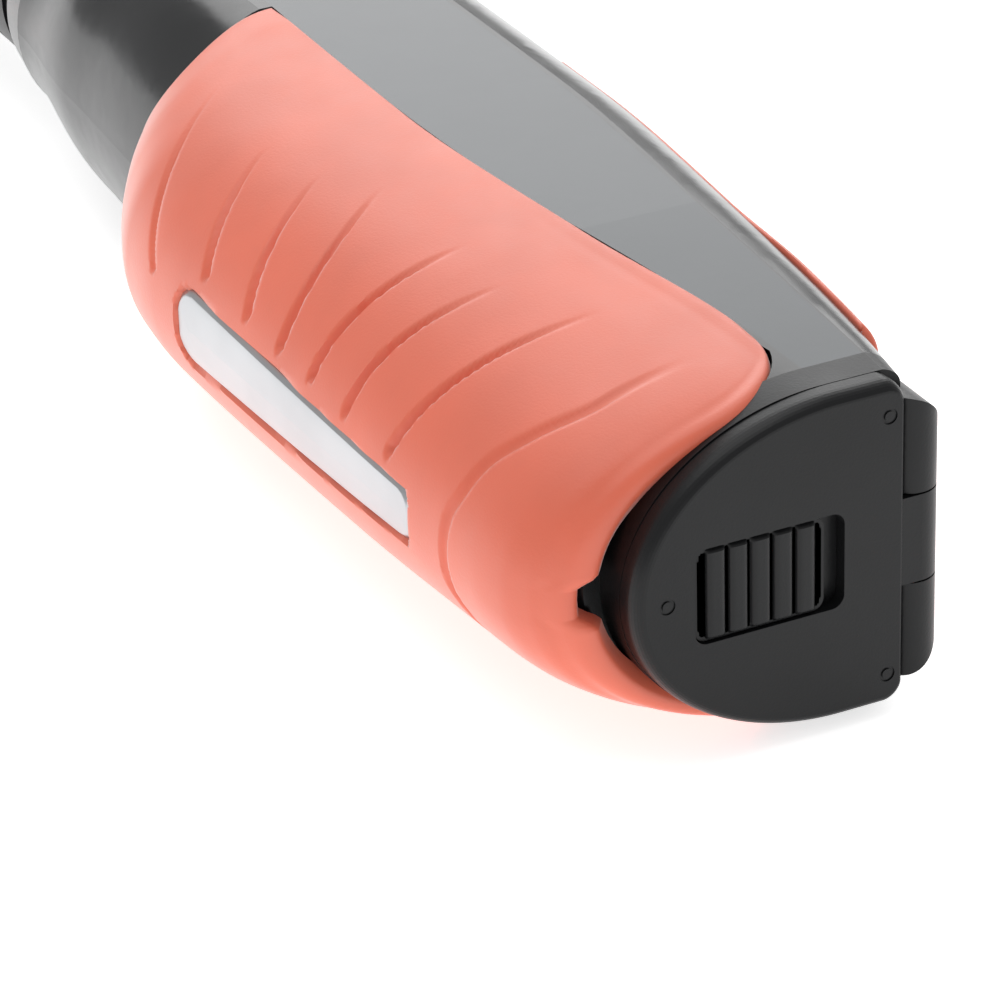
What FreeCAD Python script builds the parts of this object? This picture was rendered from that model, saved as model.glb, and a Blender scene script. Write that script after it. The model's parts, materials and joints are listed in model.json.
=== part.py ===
import FreeCAD, Part
import math
import os

# Hand-held pinpointer probe, millimetres.  The model is drawn in a handle frame: x runs from the
# outer face of the battery door (x = 0) to the probe tip, +y points to the palm side, z = 0 is the
# plane of symmetry.  Every piece is moved to the part's own frame as it is written, so that the
# origin lies under the middle of the bounding box, on the face that the tool lies on.
V = FreeCAD.Vector
X, Y, Z = V(1, 0, 0), V(0, 1, 0), V(0, 0, 1)
PARTS = {}

# ---- driving dimensions ----
TIP_X = 240.0                 # overall length
PANEL_FLAT = 19.0             # half height over the two flat gloss panels
FRAME_X = 3.05                # rear face of the end frame, just behind the door
FRAME_DEPTH = 3.9             # length of the end frame
NOSE_X = 166.0                # front end of the housings
PROBE_Y = 12.75               # axis of the probe tube
PROBE_R = 12.5                # bare probe tube, ahead of its neck
NECK_R, NECK_END = 12.1, 176.0
NOSE_R = 14.4
BLEND_X = 146.0               # where the D section starts to turn round
WALL = 2.2
SKIN = 1.4                    # soft grip thickness at its edges
PANEL_T = 1.2                 # gloss panel thickness
ROUND = 0.5523                # Bezier handle length of a quarter ellipse
FULL = 0.578                  # the same for the fuller palm swell
HINGE = V(2.9, -2.0, 0)       # hinge axis of the battery door
KNUCKLE_R = 2.8
KNUCKLE_GAP = 5.04            # half height of the door's middle knuckle and its clearance
KNUCKLE_END = 15.6
PIN_R, PIN_END = 0.75, 13.6
DOOR_T = 3.0
CELL_R, CELL_L = 7.1, 49.2    # two AA cells
CELL_Y, CELL_Z, CELL_X = 9.7, 7.35, 6.5
WINDOW = (6.9, 23.6, 5.28)    # latch window in the door: y from, y to, half height
LATCH_TRAVEL = 2.0
POWER_X, MODE_X, LED_X = 116.0, 133.0, 124.6
BOARD_Y, BOARD_T = -3.0, 1.6
GRIP_SCREWS = [(66.0, 9.0), (66.0, -9.0), (95.0, 9.0), (95.0, -9.0)]


def smooth(points):
    """Monotone cubic through a few points, returned as a function of x."""
    xs = [p[0] for p in points]
    ys = [p[1] for p in points]
    steps = [b - a for a, b in zip(xs, xs[1:])]
    rises = [(b - a) / s for a, b, s in zip(ys, ys[1:], steps)]
    slopes = [rises[0]]
    for i in range(1, len(steps)):
        left, right = rises[i - 1], rises[i]
        flat = left * right <= 0
        slopes.append(0.0 if flat else (steps[i - 1] + steps[i]) / (steps[i - 1] / left + steps[i] / right))
    slopes.append(rises[-1])

    def value(x):
        i = max(j for j in range(len(steps)) if x >= xs[j] or j == 0)
        s = (x - xs[i]) / steps[i]
        return (ys[i] * (1 + 2 * s) * (1 - s) ** 2 + ys[i + 1] * s * s * (3 - 2 * s)
                + steps[i] * (slopes[i] * s * (1 - s) ** 2 - slopes[i + 1] * s * s * (1 - s)))
    return value


# ---- profiles of the handle along x ----
height = smooth([(0, 17.9), (30, 18.7), (55, 19.1), (125, 19.1), (150, 17.8), (170, 16.5)])
flat_side = smooth([(0, -0.3), (20, -5.1), (45, -8.5), (80, -11.3), (118, -11.4), (145, -9.6), (170, -6.0)])
crease = smooth([(0, 1.2), (20, 0.0), (45, -1.3), (80, -3.3), (115, -3.2), (170, -1.0)])
panel_edge = smooth([(0, 7.5), (20, 8.8), (45, 12.6), (80, 15.3), (125, 14.9), (170, 13.5)])
palm_body = smooth([(0, 30.2), (40, 31.0), (80, 31.7), (118, 30.7), (130, 30.1), (146, 29.3), (170, 29.0)])
palm_swell = smooth([(2, 31.2), (3.4, 32.8), (5, 35.6), (7.5, 38.0), (11, 39.3), (16, 39.9), (40, 41.2),
                     (70, 42.1), (88, 42.4), (97, 41.6), (104, 39.3), (110, 36.2), (115, 33.2), (119, 31.4)])
palm_core = smooth([(0, 28.8), (5, 30.4), (9, 34.4), (14, 36.6), (40, 38.2), (70, 39.8), (88, 40.0),
                    (97, 39.0), (104, 36.6), (110, 33.2), (115, 30.2), (119, 29.2), (150, 27.8)])
palm_cavity = smooth([(0, 27.2), (6, 27.8), (10, 32.0), (16, 34.4), (40, 36.0), (70, 37.6), (88, 37.6),
                      (96, 36.4), (103, 33.6), (109, 29.8), (115, 27.4), (150, 26.6), (170, 25.8)])


def outline(flat, high, inner, edge, apex, handle=ROUND):
    """Control points of the four upper curves of a D section: side, corner, panel and palm arc."""
    drop = inner - flat
    straight = high - drop
    side = [(flat - 0.3, 0), (flat - 0.3, straight / 3), (flat, straight / 1.5), (flat, straight)]
    corner = [(flat, straight), (flat, high - 0.5 * drop), (inner - 0.6 * drop, high - 0.15 * drop),
              (inner, high)]
    panel = [(inner + (edge - inner) * i / 3, high) for i in range(4)]
    palm = [(edge, high), (edge + handle * (apex - edge), high), (apex, handle * high), (apex, 0)]
    return [side, corner, panel, palm]


def round_outline(radius):
    """The same four curves on a circle about the probe axis."""
    arcs = []
    for first, last in ((180, 150), (150, 112), (112, 68), (68, 0)):
        a, b = math.radians(first), math.radians(last)
        k = 4 / 3 * math.tan((b - a) / 4) * radius
        p = (PROBE_Y + radius * math.cos(a), radius * math.sin(a))
        q = (PROBE_Y + radius * math.cos(b), radius * math.sin(b))
        arcs.append([p, (p[0] - k * math.sin(a), p[1] + k * math.cos(a)),
                     (q[0] + k * math.sin(b), q[1] - k * math.cos(b)), q])
    return arcs


def section(x, curves):
    """Closed wire at x from the upper curves and their mirror images."""
    edges = []
    loop = curves + [[(y, -z) for y, z in reversed(c)] for c in reversed(curves)]
    for curve in loop:
        bezier = Part.BezierCurve()
        bezier.setPoles([V(x, y, z) for y, z in curve])
        edges.append(bezier.toShape())
    return Part.Wire(edges)


def body_curves(x, inset=0.0, lower=0.0, apex=palm_body, gap=0.0):
    """D section of the handle, moved in by inset, that turns into a circle towards the nose."""
    curves = outline(flat_side(x) + inset, height(x) - lower, crease(x) + 0.6 * inset, panel_edge(x),
                     apex(x) - gap)
    t = min(max((x - BLEND_X) / (NOSE_X - BLEND_X), 0.0), 1.0)
    t = t * t * (3 - 2 * t)
    ring = round_outline(NOSE_R - max(inset, lower, gap))
    return [[((1 - t) * p[0] + t * q[0], (1 - t) * p[1] + t * q[1]) for p, q in zip(c, r)]
            for c, r in zip(curves, ring)]


def loft(stations, curves_at):
    return Part.makeLoft([section(x, curves_at(x)) for x in stations], True, False)


def box(x0, x1, y0, y1, z0, z1):
    return Part.makeBox(x1 - x0, y1 - y0, z1 - z0, V(x0, y0, z0))


def rod(start, axis, radius, length):
    return Part.makeCylinder(radius, length, start, axis)


def tube(start, axis, outer, inner, length):
    return rod(start, axis, outer, length).cut(rod(start, axis, inner, length))


def mirrored(shape):
    return shape.mirror(V(0, 0, 0), Z)


def fuse(shapes):
    first, rest = shapes[0], shapes[1:]
    return first.fuse(rest).removeSplitter() if rest else first


def group(shapes):
    return Part.makeCompound(shapes)


def spline(points):
    curve = Part.BSplineCurve()
    curve.interpolate(points)
    return curve.toShape()


def plan_prism(low, high, x0, x1, z0, z1, count=10):
    """Solid between two curves y = low(x) and y = high(x) in plan."""
    xs = [x0 + (x1 - x0) * i / count for i in range(count + 1)]
    a = [V(x, low(x), z0) for x in xs]
    b = [V(x, high(x), z0) for x in xs]
    wire = Part.Wire([spline(a), Part.makeLine(a[-1], b[-1]), spline(list(reversed(b))),
                      Part.makeLine(b[0], a[0])])
    return Part.Face(wire).extrude(V(0, 0, z1 - z0))


def side_prism(rear, front, half, y0, y1, count=12):
    """Solid between two curves x = rear(z) and x = front(z) in side view."""
    zs = [-half + 2 * half * i / count for i in range(count + 1)]
    a = [V(rear(z), y0, z) for z in zs]
    b = [V(front(z), y0, z) for z in zs]
    wire = Part.Wire([spline(a), Part.makeLine(a[-1], b[-1]), spline(list(reversed(b))),
                      Part.makeLine(b[0], a[0])])
    return Part.Face(wire).extrude(V(0, y1 - y0, 0))


def rounded_plate(y0, y1, half, radius, x0, x1):
    """Rectangle in the y-z plane with round corners, thickened along x."""
    block = box(x0, x1, y0, y1, -half, half)
    corners = [e for e in block.Edges if abs(e.tangentAt(e.FirstParameter).x) > 0.9]
    return block.makeFillet(radius, corners)


def door_wire(x, depth, half, back, corner):
    """D outline of the door: straight hinge side, half ellipse towards the palm."""
    centre = 7.0
    upper = [[(back, 0), (back, (half - corner) / 3), (back, (half - corner) / 1.5), (back, half - corner)],
             [(back, half - corner), (back, half - 0.45 * corner), (back + 0.55 * corner, half),
              (back + corner, half)],
             [(back + corner + (centre - back - corner) * i / 3, half) for i in range(4)],
             [(centre, half), (centre + ROUND * (depth - centre), half), (depth, ROUND * half), (depth, 0)]]
    return section(x, upper)


def door_loft(rows):
    return Part.makeLoft([door_wire(*row) for row in rows], True, True)


def main_solid(shape):
    """The piece itself, without slivers left where two lofted skins graze each other."""
    return max(shape.Solids, key=lambda solid: solid.Volume)


def add(name, shape):
    PARTS[name] = shape


# ---- housings ----
BODY_X = [FRAME_X, 10, 20, 32, 45, 60, 75, 90, 105, 118, 130, 140, 147, 152, 157, 162, NOSE_X]
CORE_X = [0, 3, 6, 9, 12, 16, 24, 40, 60, 80, 90, 97, 101, 105, 109, 113, 117, 124, 135]
SWELL_X = [2, 3.4, 5, 7.5, 10, 13, 17, 25, 40, 60, 78, 88, 94, 99, 104, 108, 112, 115.5, 119]
flats = box(-20, 260, -60, 80, -PANEL_FLAT, PANEL_FLAT)
outer = loft(BODY_X, body_curves).common(flats)
under_panel = loft(BODY_X, lambda x: body_curves(x, 0.9, PANEL_T))
core = loft(CORE_X, lambda x: outline(flat_side(x) + 3, height(x) - SKIN, crease(x) + 3, panel_edge(x),
                                      palm_core(x)))
CAVITY_X = [6, 7.5, 9, 12, 18, 30, 45, 60, 80, 93, 99, 105, 110, 116, 125, 140, 150, NOSE_X + 1]
cavity = loft(CAVITY_X, lambda x: body_curves(x, WALL, SKIN + 1.7, palm_cavity))
swell = loft(SWELL_X, lambda x: outline(flat_side(x), height(x), crease(x), panel_edge(x), palm_swell(x),
                                        FULL)).common(flats)

palm_side = plan_prism(panel_edge, lambda x: 60.0, -5, NOSE_X + 4, -40, 40)
GRIP_REAR, GRIP_CORNER = 3.4, (14.2, 13.0)
# front edge of the grip on its middle line, how far it bows back, and how far out it does so most
GRIP_FRONT, GRIP_BOW, BOW_Z = 116.5, 4.4, 14.0
FRAME_END = FRAME_X + FRAME_DEPTH


def grip_front(z):
    """x of the palm grip's front edge: furthest forward in the middle, furthest back at BOW_Z."""
    return GRIP_FRONT - GRIP_BOW * (1 - (1 - (z / BOW_Z) ** 2) ** 2)


grip_reach = side_prism(lambda z: GRIP_REAR, grip_front, 21.0, 0, 60, 18)


def corner_cut():
    """Rounds the rear corners of the palm grip where it meets the gloss panels, in plan."""
    reach, rise = GRIP_CORNER
    points = []
    for i in range(10):
        a = math.radians(10.0 * i)
        x = reach - (reach - GRIP_REAR) * math.sin(a)
        points.append(V(x, panel_edge(reach) + rise * (1 - math.cos(a)), -30))
    corners = [points[-1] - X * 4, V(GRIP_REAR - 4, 0, -30), V(reach, 0, -30)]
    edges = [spline(points)]
    for a, b in zip([points[-1]] + corners, corners + [points[0]]):
        edges.append(Part.makeLine(a, b))
    return Part.Face(Part.Wire(edges)).extrude(V(0, 0, 60))


notch_outline = [(-1, 6.0), (3.3, 3.5), (4.9, 1.8), (4.9, -1.8), (3.3, -3.5), (-1, -6.0), (-1, 6.0)]
grip_notch = Part.Face(Part.makePolygon([V(x, 26, z) for x, z in notch_outline])).extrude(V(0, 14, 0))
grip_inner = core.common(box(FRAME_END, 200, -60, 80, -60, 60))
grip_inner = grip_inner.fuse(outer.common(box(0, FRAME_END, -60, 80, -60, 60)))
palm_grip = swell.common(palm_side).common(grip_reach).cut(corner_cut()).cut(grip_inner).cut(grip_notch)

# silver inlay along the palm, let into the grip
BADGE_X = (28.2, 82.4)
BADGE_HALF = (3.1, 4.6)
badge_shape = Part.makeLoft([section(x, outline(flat_side(x), height(x) - 0.35, crease(x), panel_edge(x),
                                                palm_swell(x) - 0.35, FULL)) for x in SWELL_X[6:14]], True)
badge_plan = [(BADGE_X[0], BADGE_HALF[0]), (BADGE_X[1], BADGE_HALF[1]), (BADGE_X[1], -BADGE_HALF[1]),
              (BADGE_X[0], -BADGE_HALF[0]), (BADGE_X[0], BADGE_HALF[0])]
badge_slot = Part.Face(Part.makePolygon([V(x, 34, z) for x, z in badge_plan])).extrude(V(0, 26, 0))
badge_slot = badge_slot.makeFillet(2.4, [e for e in badge_slot.Edges
                                         if abs(e.tangentAt(e.FirstParameter).y) > 0.9])
badge_floor = Part.makeLoft([section(x, outline(flat_side(x), height(x) - 1.6, crease(x), panel_edge(x),
                                                palm_swell(x) - 1.6, FULL)) for x in SWELL_X[6:14]], True)
palm_badge = badge_shape.common(badge_slot).cut(badge_floor)
palm_grip = palm_grip.cut(badge_slot.cut(badge_floor))

frame_cut = box(-10, FRAME_X + FRAME_DEPTH, -60, 80, -60, 60)
palm_housing = outer.fuse(core.common(grip_reach)).common(palm_side)
palm_housing = palm_housing.cut(cavity).cut(palm_grip).cut(badge_slot.cut(badge_floor)).cut(frame_cut)
thumb_housing = outer.cut(palm_side).cut(cavity).cut(frame_cut)

# gloss panels let into the thumb housing above and below
PANEL_X = (FRAME_END, 150.0)
panel_strip = plan_prism(lambda x: crease(x) + 0.25, lambda x: panel_edge(x) + 0.02, PANEL_X[0], PANEL_X[1],
                         0, 40)
upper_panel = outer.cut(under_panel).common(panel_strip).cut(palm_side)
lower_panel = mirrored(upper_panel)
thumb_housing = thumb_housing.cut(upper_panel).cut(lower_panel)

# soft thumb grip on the flat side
PAD_RISE, PAD_HALF = 1.2, 16.6
pad_skin = loft(BODY_X[:11], lambda x: body_curves(x, -PAD_RISE, 0.0))
pad_floor = loft(BODY_X[:11], lambda x: body_curves(x, 1.0, 0.6))
pad_front = 104.0
pad_reach = side_prism(lambda z: 12.0 + 0.01 * z * z, lambda z: pad_front - 0.05 * z * z, PAD_HALF, -30, 8)
half_pad = plan_prism(lambda x: -40.0, lambda x: flat_side(x) + 4.6, 5, 110, -18, 18)
thumb_grip = pad_skin.common(pad_reach).common(half_pad).cut(pad_floor)
thumb_housing = thumb_housing.cut(thumb_grip)


# ---- end frame with the hinge knuckles, behind the battery door ----


def opening_plug(gap, x0, x1):
    """Straight plug that fills the frame's opening up to the given gap."""
    wire = section(FRAME_X, body_curves(FRAME_X, WALL + gap, SKIN + 1.7 + gap, palm_cavity, gap))
    plug = Part.Face(wire).extrude(X * (x1 - x0))
    plug.translate(X * (x0 - FRAME_X))
    return plug


opening = opening_plug(0.0, FRAME_X - 1, FRAME_END + 1)
frame_ring = outer.common(box(FRAME_X, FRAME_END, -20, 60, -30, 30))
web_back = HINGE.y - KNUCKLE_R
web_profile = Part.makePolygon([V(HINGE.x, web_back, 0), V(FRAME_END, flat_side(FRAME_END) - 0.6, 0),
                                V(FRAME_END, 0.5, 0), V(HINGE.x, 0.5, 0), V(HINGE.x, web_back, 0)])
web = Part.Face(web_profile).extrude(V(0, 0, 2 * KNUCKLE_END))
web.translate(V(0, 0, -KNUCKLE_END))
barrel = rod(HINGE - Z * KNUCKLE_END, Z, KNUCKLE_R, 2 * KNUCKLE_END)
round_ends = box(-1, FRAME_END, web_back, 20, -KNUCKLE_END, KNUCKLE_END)
round_ends = round_ends.makeFillet(5.2, [e for e in round_ends.Edges if e.CenterOfMass.y < web_back + 0.01
                                         and abs(abs(e.CenterOfMass.z) - KNUCKLE_END) < 0.01])
knuckles = barrel.fuse(web).common(round_ends)
door_space = rod(HINGE - Z * KNUCKLE_GAP, Z, KNUCKLE_R + 0.28, 2 * KNUCKLE_GAP)
door_space = door_space.fuse(box(-1, FRAME_X, -10, 10, -KNUCKLE_GAP, KNUCKLE_GAP))
catch_pocket = box(FRAME_X, FRAME_END - 0.45, 25.5, 29.45, -3.2, 3.2)
rear_frame = frame_ring.fuse(knuckles).cut(door_space).cut(catch_pocket)
pin_hole = rod(HINGE - Z * (KNUCKLE_END + 1), Z, PIN_R, KNUCKLE_END + 1 + PIN_END)
rear_frame = main_solid(rear_frame.cut(pin_hole))
rear_frame = rear_frame.cut(opening)
hinge_pin = rod(HINGE - Z * PIN_END, Z, PIN_R, 2 * PIN_END)
latch_catch = fuse([box(3.15, 3.5, 26.9, 29.35, -2.6, 2.6), box(3.15, 6.45, 29.0, 29.35, -2.6, 2.6)])

# ---- battery door ----
door_rows = []
for i in range(8):
    swing = math.radians(90.0 * (7 - i) / 7)
    inset = 1 - math.cos(swing)                  # quarter round rim, widest at the free end
    door_rows.append((1.7 * (1 - math.sin(swing)), 30.25 - 1.25 * inset, 17.95 - 1.0 * inset,
                      0.6 * inset - 0.1, 2.2 - 0.6 * inset))
door = door_loft(door_rows + [(DOOR_T, 30.25, 17.95, -0.1, 2.2)])
door = door.cut(rod(HINGE - Z * 30, Z, KNUCKLE_R + 0.32, 60))
door_knuckle = rod(HINGE - Z * (KNUCKLE_GAP - 0.2), Z, KNUCKLE_R, 2 * (KNUCKLE_GAP - 0.2))
door_knuckle = door_knuckle.fuse(box(HINGE.x - KNUCKLE_R, DOOR_T, HINGE.y, 3.6, 0.2 - KNUCKLE_GAP,
                                     KNUCKLE_GAP - 0.2))
lip_x = (DOOR_T - 0.2, DOOR_T + 1.4)
lip_outer = opening_plug(0.65, lip_x[0], lip_x[1])
lip_inner = opening_plug(2.0, lip_x[0], lip_x[1])
lip = lip_outer.cut(lip_inner).common(box(0, 9, 8.0, 40, -30, 30)).cut(box(0, 9, 20, 40, -3.2, 3.2))
LATCH_FLOOR = 1.7
SLOT = (14.5, 21.2, 2.2)
window = rounded_plate(WINDOW[0], WINDOW[1], WINDOW[2], 1.4, -1, LATCH_FLOOR)
slot = box(0, 6, SLOT[0], SLOT[1], -SLOT[2], SLOT[2])
battery_door = fuse([door, door_knuckle, lip]).cut(window).cut(slot)
battery_door = battery_door.cut(rod(HINGE - Z * 20, Z, PIN_R + 0.06, 40))
for mark_y, mark_z in ((1.9, 14.4), (1.9, -14.4), (26.6, 0.0)):
    battery_door = battery_door.cut(tube(V(-0.1, mark_y, mark_z), X, 0.85, 0.55, 0.25))
battery_door = main_solid(battery_door)
door_seals = opening_plug(0.35, 3.35, 4.15).cut(lip_outer).common(box(0, 9, 8.5, 40, -30, 30))
door_seals = door_seals.cut(box(0, 9, 20, 40, -3.4, 3.4))

# ---- latch slider: cap with ribs outside, tongue inside ----
CAP = (WINDOW[0] + LATCH_TRAVEL + 0.1, WINDOW[1] - 0.15, WINDOW[2] - 0.15)
cap = rounded_plate(CAP[0], CAP[1], CAP[2], 1.25, 0.45, LATCH_FLOOR - 0.1)
RIBS, RIB_PITCH, RIB_W = 5, 2.5, 1.15
ribs = []
for i in range(RIBS):
    rib_y = CAP[1] - 2.3 - i * RIB_PITCH
    rib = box(0.0, 0.5, rib_y - RIB_W / 2, rib_y + RIB_W / 2, 0.5 - CAP[2], CAP[2] - 0.5)
    ribs.append(rib.makeChamfer(0.35, [e for e in rib.Edges if e.CenterOfMass.x < 0.01]))
stem = box(LATCH_FLOOR - 0.2, 3.6, SLOT[0] + LATCH_TRAVEL + 0.15, SLOT[1] - 0.25,
           0.2 - SLOT[2], SLOT[2] - 0.2)
tongue = box(3.15, 4.7, SLOT[0] + LATCH_TRAVEL - 0.6, 26.2, -2.5, 2.5)
nose = Part.Face(Part.makePolygon([V(3.75, 26.2, -2.4), V(3.75, 28.4, -2.4), V(4.7, 27.2, -2.4),
                                   V(4.7, 26.2, -2.4), V(3.75, 26.2, -2.4)])).extrude(V(0, 0, 4.8))
latch_slider = fuse([cap] + ribs + [stem, tongue, nose])

# ---- cells, tray and contacts ----
cell_upper = rod(V(CELL_X, CELL_Y, CELL_Z), X, CELL_R, CELL_L).fuse(
    rod(V(CELL_X + CELL_L, CELL_Y, CELL_Z), X, 2.7, 1.3))
cell_lower = rod(V(CELL_X + 1.3, CELL_Y, -CELL_Z), X, CELL_R, CELL_L).fuse(
    rod(V(CELL_X, CELL_Y, -CELL_Z), X, 2.7, 1.3))
CELL_END = CELL_X + CELL_L + 1.3
BULKHEAD = CELL_END + 3.5
inner_space = loft(CAVITY_X, lambda x: body_curves(x, WALL + 0.2, SKIN + 1.9, palm_cavity, 0.25))
battery_tray = inner_space.common(box(FRAME_END + 0.1, BULKHEAD + 2.0, 0.6, 18.2, -20, 20))
for side in (1, -1):
    battery_tray = battery_tray.cut(rod(V(0, CELL_Y, side * CELL_Z), X, CELL_R + 0.15, BULKHEAD))
battery_tray = main_solid(battery_tray.cut(box(0, BULKHEAD, 4.5, 15.0, -CELL_Z, CELL_Z)))
bridge_plate = box(DOOR_T, DOOR_T + 0.4, CELL_Y - 3.0, CELL_Y + 3.0, -11.5, 11.5)


def contact_spring(x, z, coil_height, foot):
    """Compression spring with its wire's centre line on a helix along x."""
    wire_r = 0.3
    turns = 3.2
    helix = Part.makeHelix(coil_height / turns, coil_height, 2.6)
    profile = Part.Wire(Part.makeCircle(wire_r, V(2.6, 0, 0), Y))
    coil = Part.Wire(helix).makePipeShell([profile], True, True)
    coil.rotate(V(0, 0, 0), Y, 90)
    coil.translate(V(x, CELL_Y, z))
    pad = rod(V(foot, CELL_Y, z), X, 3.1, 0.3)
    return coil.fuse(pad)


door_contact = bridge_plate.fuse(rod(V(DOOR_T + 0.4, CELL_Y, -CELL_Z), X, 2.2, CELL_X - DOOR_T - 0.45))
door_spring = contact_spring(DOOR_T + 0.8, CELL_Z, 2.3, DOOR_T + 0.4)
bay_spring = contact_spring(0.4, CELL_Z, 2.3, 0.0)
bay_spring.rotate(V(0, 0, 0), Y, 180)
bay_spring.translate(X * (BULKHEAD - 0.4))
bay_contact = fuse([box(BULKHEAD - 0.4, BULKHEAD, CELL_Y - 4, CELL_Y + 4, 2.0, 12.0),
                    rod(V(CELL_END + 0.05, CELL_Y, CELL_Z), X, 2.2, BULKHEAD - 0.4 - CELL_END)])
bay_plate = box(BULKHEAD - 0.4, BULKHEAD, CELL_Y - 4, CELL_Y + 4, -12.0, -2.0)

# ---- screws that hold the two housings, hidden under the thumb grip ----
SPLIT_Y = 6.0
housing_screws = []
for screw_x, screw_z in GRIP_SCREWS:
    seat = flat_side(screw_x) + 1.0
    post = rod(V(screw_x, seat, screw_z), Y, 3.3, SPLIT_Y - seat)
    column = rod(V(screw_x, SPLIT_Y, screw_z), Y, 3.3, 40).common(core).common(palm_side.fuse(
        box(0, 170, SPLIT_Y, 30, -30, 30)))
    column = main_solid(column)
    bore = rod(V(screw_x, seat - 5, screw_z), Y, 1.6, SPLIT_Y - seat + 5)
    counterbore = rod(V(screw_x, seat - 5, screw_z), Y, 2.9, 7.2)
    thread = rod(V(screw_x, SPLIT_Y, screw_z), Y, 1.4, 9.0)
    thumb_housing = thumb_housing.fuse(post).cut(bore).cut(counterbore)
    palm_housing = palm_housing.fuse(column).cut(thread)
    head = rod(V(screw_x, seat + 0.35, screw_z), Y, 2.7, 1.85)
    drive = rod(V(screw_x, seat + 0.3, screw_z), Y, 1.0, 1.0)
    shank = rod(V(screw_x, seat + 2.2, screw_z), Y, 1.4, SPLIT_Y + 8.5 - seat - 2.2)
    housing_screws.append(head.fuse(shank).cut(drive))

# ---- circuit board with its switches, chips and screws ----
BOARD = (100.5, 146.0, 9.0)
board_top = BOARD_Y + BOARD_T
main_board = box(BOARD[0], BOARD[1], BOARD_Y, board_top, -BOARD[2], BOARD[2])
board_screws = []
for board_x, board_z in ((104.0, 6.5), (104.0, -6.5), (127.5, 6.5), (127.5, -6.5)):
    floor = flat_side(board_x) + WALL - 0.8
    post = tube(V(board_x, floor, board_z), Y, 2.3, 0.9, BOARD_Y - floor)
    thumb_housing = thumb_housing.fuse(post)
    main_board = main_board.cut(rod(V(board_x, BOARD_Y - 1, board_z), Y, 1.1, BOARD_T + 2))
    board_screws.append(rod(V(board_x, board_top, board_z), Y, 1.9, 1.2).fuse(
        rod(V(board_x, BOARD_Y - 3.2, board_z), Y, 0.9, BOARD_T + 3.2)))
SWITCH_TOP = BOARD_Y - 2.8
switches = []
for switch_x in (POWER_X, MODE_X):
    switches.append(box(switch_x - 3, switch_x + 3, SWITCH_TOP, BOARD_Y, -3, 3).fuse(
        rod(V(switch_x, SWITCH_TOP - 0.75, 0), Y, 1.6, 0.8)))
chips = [box(118, 126, board_top, board_top + 1.4, -4, 4), box(109, 114, board_top, board_top + 1.3, -6, -2),
         box(109, 114, board_top, board_top + 1.3, 2, 6), box(129.5, 134, board_top, board_top + 1.6, 3, 7)]
capacitor = rod(V(134.5, board_top, -4.0), Y, 3.2, 8.0)
status_led = box(LED_X - 1.2, LED_X + 1.2, BOARD_Y - 0.9, BOARD_Y, -1.0, 1.0)
light_pipe = rod(V(LED_X, flat_side(LED_X) - 0.55, 0), Y, 1.3, BOARD_Y - 1.2 - flat_side(LED_X) + 0.55)
thumb_housing = thumb_housing.cut(rod(V(LED_X, -20, 0), Y, 1.3, 16))


def button(x, radius, rise, flange_y, stem_y):
    """Rubber-covered button that presses along +y: domed cap, hidden flange and stem."""
    top = flat_side(x) - rise
    cap_shape = rod(V(x, top, 0), Y, radius, flange_y - top + 0.1)
    cap_shape = cap_shape.makeFillet(0.7, [e for e in cap_shape.Edges if e.CenterOfMass.y < top + 0.01
                                           and e.Closed])
    return fuse([cap_shape, rod(V(x, flange_y, 0), Y, radius + 0.8, 0.7),
                 rod(V(x, flange_y, 0), Y, 1.5, stem_y - flange_y)])


power_button = button(POWER_X, 4.5, 0.9, flat_side(POWER_X) + WALL + 0.35, SWITCH_TOP - 1.6)
mode_button = button(MODE_X, 3.4, 0.9, flat_side(MODE_X) + WALL + 0.1, SWITCH_TOP - 1.6)
for hole_x, hole_r in ((POWER_X, 4.8), (MODE_X, 3.7)):
    thumb_housing = thumb_housing.cut(rod(V(hole_x, -20, 0), Y, hole_r, 13.5))
    thumb_housing = thumb_housing.cut(rod(V(hole_x, flat_side(hole_x) + WALL - 0.3, 0), Y, hole_r + 0.9, 3.0))

# ---- sounder, vibration motor ----
SOUNDER = V(80, 6.0, -15.6)
sounder = tube(SOUNDER, Z, 8.0, 1.2, 3.6).fuse(rod(SOUNDER, Z, 8.0, 0.8))
for i in range(5):
    port = rod(V(SOUNDER.x + 3.0 * (i - 2), SOUNDER.y, -30), Z, 0.8, 14.2)
    thumb_housing = thumb_housing.cut(port)
    lower_panel = lower_panel.cut(port)
MOTOR = V(70, 27.0, 0)
motor_body = rod(MOTOR, X, 4.0, 16).fuse(rod(MOTOR + X * 16, X, 1.8, 1.0)).cut(
    rod(MOTOR + X * 10, X, 0.8, 10))
motor_shaft = rod(MOTOR + X * 11, X, 0.75, 10.5)
weight = rod(MOTOR + X * 17.6, X, 3.6, 3.8).common(box(0, 200, 0, MOTOR.y + 0.9, -9, 9))
eccentric = motor_shaft.fuse(weight)
motor_cradle = inner_space.common(box(MOTOR.x + 1, MOTOR.x + 13, MOTOR.y - 1.5, 50, -5.6, 5.6))
motor_cradle = motor_cradle.cut(rod(MOTOR - X, X, 4.0, 20))

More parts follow.
